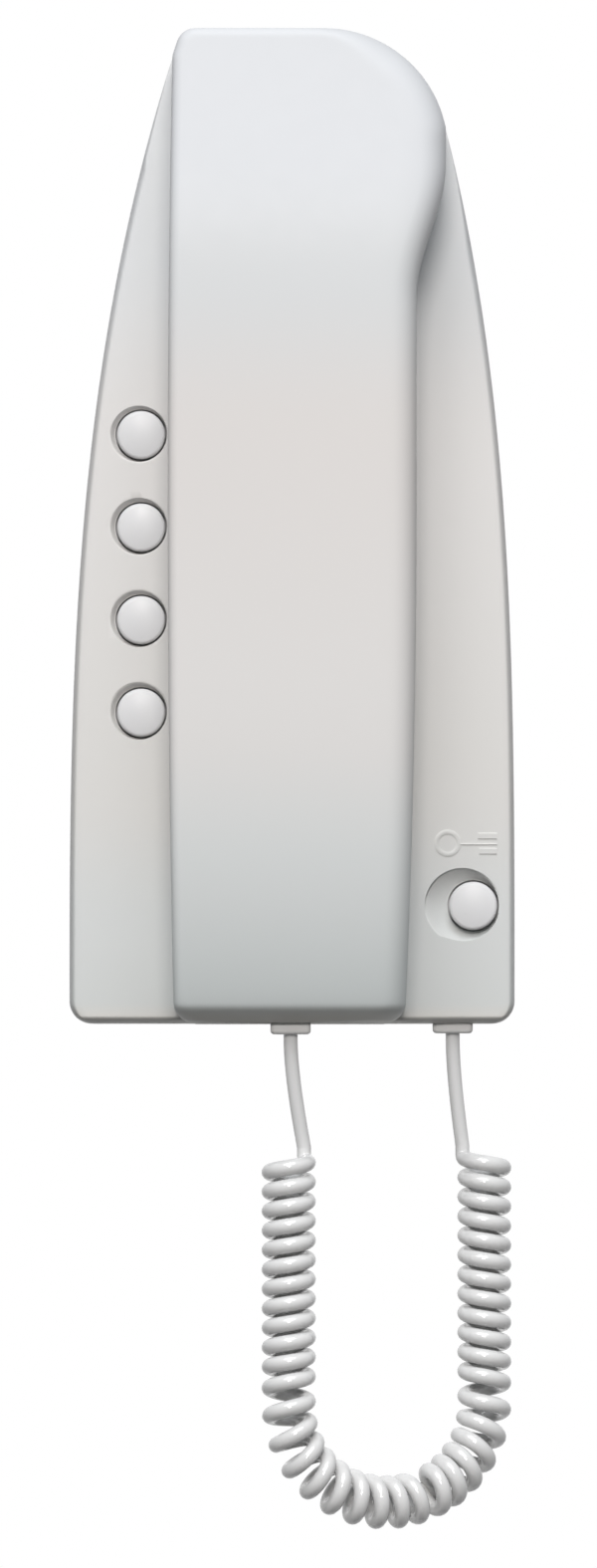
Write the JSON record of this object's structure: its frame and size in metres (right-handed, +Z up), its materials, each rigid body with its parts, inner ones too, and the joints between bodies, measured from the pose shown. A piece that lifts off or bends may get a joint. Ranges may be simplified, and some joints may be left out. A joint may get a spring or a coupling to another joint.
{
  "type": "audio intercom handset",
  "caption": "Wall-mounted audio intercom station: a lift-off handset on a tapered base with push buttons on either side and a coiled cord hanging below.",
  "frame": {"origin": "on the wall plane, midway between the two wall screws", "axes": "+X to the viewer's right, +Y into the wall, +Z up; the front of the handset faces -Y"},
  "size_m": [0.0942, 0.0598, 0.3167],
  "materials": {
    "housing_plastic": "satin moulded white",
    "handset_plastic": "satin moulded white",
    "button_plastic": "satin moulded white",
    "plate_plastic": "matt moulded light grey",
    "plug_plastic": "moulded white",
    "cord_white": "glossy flexible jacket",
    "dark_plastic": "matt black",
    "terminal_plastic": "matt green",
    "board": "solder mask",
    "steel": "zinc plated",
    "transducer": "plain can",
    "soft_rubber": "soft black"
  },
  "bodies": {
    "base": {"wall_plate": "plate_plastic", "front_housing": "housing_plastic", "circuit_board": "board", "board_screws": "steel", "terminal_block": "terminal_plastic", "terminal_screws": "steel", "cord_socket": "dark_plastic", "button_switches": "dark_plastic", "sounder": "dark_plastic", "hook_switch": "dark_plastic", "housing_screw": "steel", "hook_pin": "steel", "base_plug": "plug_plastic", "cord_lead_base": "cord_white", "cord_curls": "cord_white"},
    "handset": {"handset_shell": "handset_plastic", "handset_cover": "housing_plastic", "earpiece": "transducer", "earpiece_gasket": "soft_rubber", "microphone": "transducer", "microphone_boot": "soft_rubber", "handset_socket": "dark_plastic", "handset_screws": "steel", "handset_plug": "plug_plastic", "cord_lead_handset": "cord_white"},
    "hook": {"hook_lever": "button_plastic"},
    "call_1": {"call_button_1": "button_plastic"},
    "call_2": {"call_button_2": "button_plastic"},
    "call_3": {"call_button_3": "button_plastic"},
    "call_4": {"call_button_4": "button_plastic"},
    "door": {"door_button": "button_plastic"}
  },
  "joints": [
    {"name": "handset_lift", "type": "slide", "parent": "base", "child": "handset", "axis": [0, -0.9397, 0.342], "range_m": [0, 0.08], "deforming": ["cord_curls"]},
    {"name": "hook_swing", "type": "hinge", "parent": "base", "child": "hook", "pos_m": [0.014, -0.024, 0.02], "axis": [1, 0, 0], "range_deg": [0, 11.5]},
    {"name": "call_press_1", "type": "slide", "parent": "base", "child": "call_1", "axis": [0, 1, 0], "range_m": [0, 0.0012], "stiffness_N_per_m": 600},
    {"name": "call_press_2", "type": "slide", "parent": "base", "child": "call_2", "axis": [0, 1, 0], "range_m": [0, 0.0012], "stiffness_N_per_m": 600},
    {"name": "call_press_3", "type": "slide", "parent": "base", "child": "call_3", "axis": [0, 1, 0], "range_m": [0, 0.0012], "stiffness_N_per_m": 600},
    {"name": "call_press_4", "type": "slide", "parent": "base", "child": "call_4", "axis": [0, 1, 0], "range_m": [0, 0.0012], "stiffness_N_per_m": 600},
    {"name": "door_press", "type": "slide", "parent": "base", "child": "door", "axis": [0, 1, 0], "range_m": [0, 0.0012], "stiffness_N_per_m": 600}
  ],
  "couplings": [
    {"joint": "hook_swing", "follows": "handset_lift", "rad_per_m": 2.5}
  ]
}
